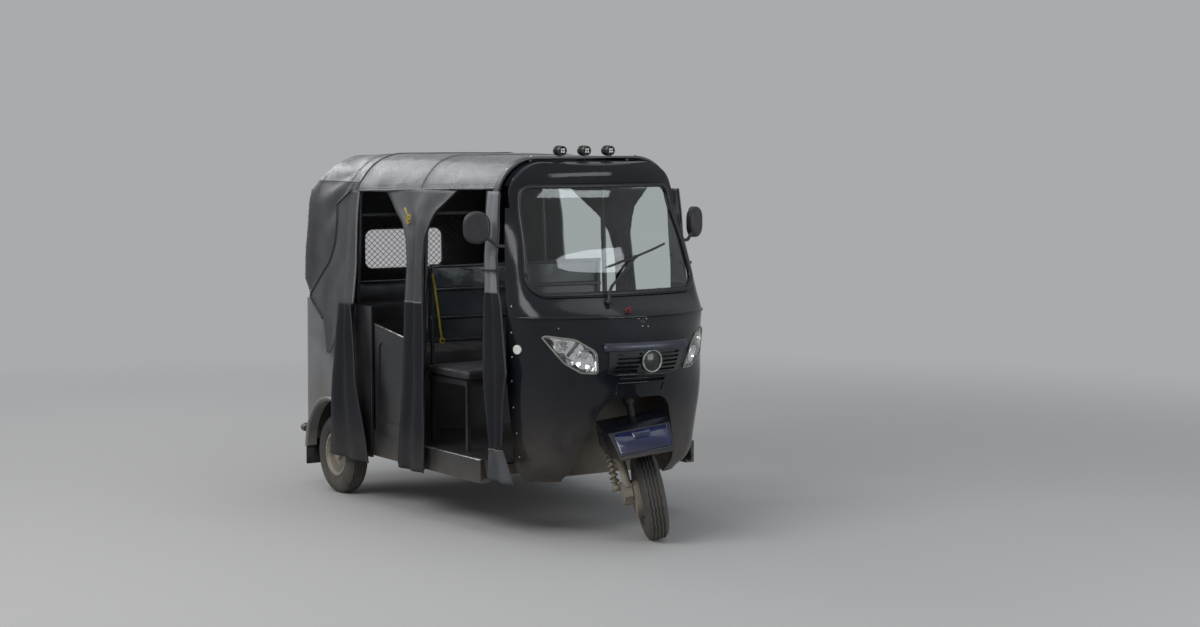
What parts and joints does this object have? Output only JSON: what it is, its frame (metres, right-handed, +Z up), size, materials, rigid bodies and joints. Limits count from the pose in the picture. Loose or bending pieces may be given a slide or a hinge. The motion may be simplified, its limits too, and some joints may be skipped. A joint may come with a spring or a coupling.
{
  "type": "auto rickshaw",
  "caption": "Auto rickshaw with a curved sheet-metal front, soft canopy with hanging curtains, bench seats, rear engine and a steered front wheel.",
  "frame": {"origin": "on the ground under the centre of the overall box", "axes": "+X forward, +Y to the vehicle's left, +Z up"},
  "size_m": [2.6261, 1.3296, 1.7805],
  "materials": {
    "body_black": "gloss",
    "window_glass": "clear",
    "seal_rubber": "satin",
    "lamp_glass": "clear",
    "lamp_reflector": "polished",
    "grille_grey": "satin",
    "underbody": "dusty",
    "marker_white": "gloss",
    "floor_grey": "worn",
    "panel_grey": "dusty",
    "panel_dark": "satin",
    "panel_gloss": "gloss",
    "seat_vinyl": "satin",
    "tube_black": "satin",
    "trim_plastic": "matte",
    "mesh_steel": "dull",
    "canopy_vinyl": "sheen",
    "marker_dark": "gloss",
    "lamp_red": "gloss",
    "curtain_cloth": "matte",
    "mirror_face": "polished",
    "engine_cast": "cast",
    "exhaust_steel": "dull",
    "suspension_dusty": "dusty",
    "mudguard_blue": "gloss",
    "tyre_rubber": "dusty",
    "rim_steel": "dusty"
  },
  "bodies": {
    "chassis": {"front_cowl": "body_black", "windscreen_frame": "body_black", "windscreen_glass": "window_glass", "windscreen_seal": "seal_rubber", "headlamp_lenses": "lamp_glass", "headlamp_housings": "lamp_reflector", "grille": "grille_grey", "front_wheel_housing": "underbody", "side_markers": "marker_white", "floor_pan": "floor_grey", "chassis_frame": "underbody", "rear_sides": "panel_grey", "rear_panel": "panel_grey", "passenger_seat_base": "floor_grey", "passenger_seat_cushion": "seat_vinyl", "passenger_backrest": "seat_vinyl", "driver_seat_frame": "tube_black", "driver_seat_cushion": "seat_vinyl", "partition_bars": "tube_black", "partition_panel": "panel_gloss", "side_guard_right": "panel_dark", "dashboard": "trim_plastic", "screen_frame": "mesh_steel", "wire_screen": "mesh_steel", "rear_lamps": "lamp_red", "canopy_roof": "canopy_vinyl", "canopy_rear": "canopy_vinyl", "canopy_frame": "tube_black", "canopy_clamp": "tube_black", "roof_lights": "marker_dark", "curtains": "curtain_cloth", "mirror_housings": "trim_plastic", "mirror_glasses": "mirror_face", "wiper": "trim_plastic", "engine_block": "engine_cast", "silencer": "exhaust_steel", "trailing_arms": "suspension_dusty", "rear_dampers": "suspension_dusty", "drive_shafts": "suspension_dusty", "rear_bumper": "tube_black"},
    "steering": {"steering_fork": "suspension_dusty", "front_damper": "suspension_dusty", "handlebar": "tube_black", "front_mudguard": "mudguard_blue"},
    "front_wheel": {"front_tyre": "tyre_rubber", "front_rim": "rim_steel"},
    "rear_wheel_right": {"rear_tyre_right": "tyre_rubber", "rear_rim_right": "rim_steel"},
    "rear_wheel_left": {"rear_tyre_left": "tyre_rubber", "rear_rim_left": "rim_steel"},
    "engine_hatch": {"engine_hatch": "panel_grey"}
  },
  "joints": [
    {"name": "steering_turn", "type": "hinge", "parent": "chassis", "child": "steering", "pos_m": [1.13, 0, 0], "axis": [-0.3746, 0, 0.9272], "range_deg": [-10, 66]},
    {"name": "front_wheel_spin", "type": "hinge", "parent": "steering", "child": "front_wheel", "pos_m": [1.0678, -0.0095, 0.20163], "axis": [0.4353, 0.8829, 0.1759], "continuous": true},
    {"name": "rear_wheel_right_spin", "type": "hinge", "parent": "chassis", "child": "rear_wheel_right", "pos_m": [-0.9, -0.575, 0.2], "axis": [0, 1, 0], "continuous": true},
    {"name": "rear_wheel_left_spin", "type": "hinge", "parent": "chassis", "child": "rear_wheel_left", "pos_m": [-0.9, 0.575, 0.2], "axis": [0, 1, 0], "continuous": true},
    {"name": "engine_hatch_hinge", "type": "hinge", "parent": "chassis", "child": "engine_hatch", "pos_m": [-1.304, 0, 0.806], "axis": [0, 1, 0], "range_deg": [0, 80]}
  ]
}
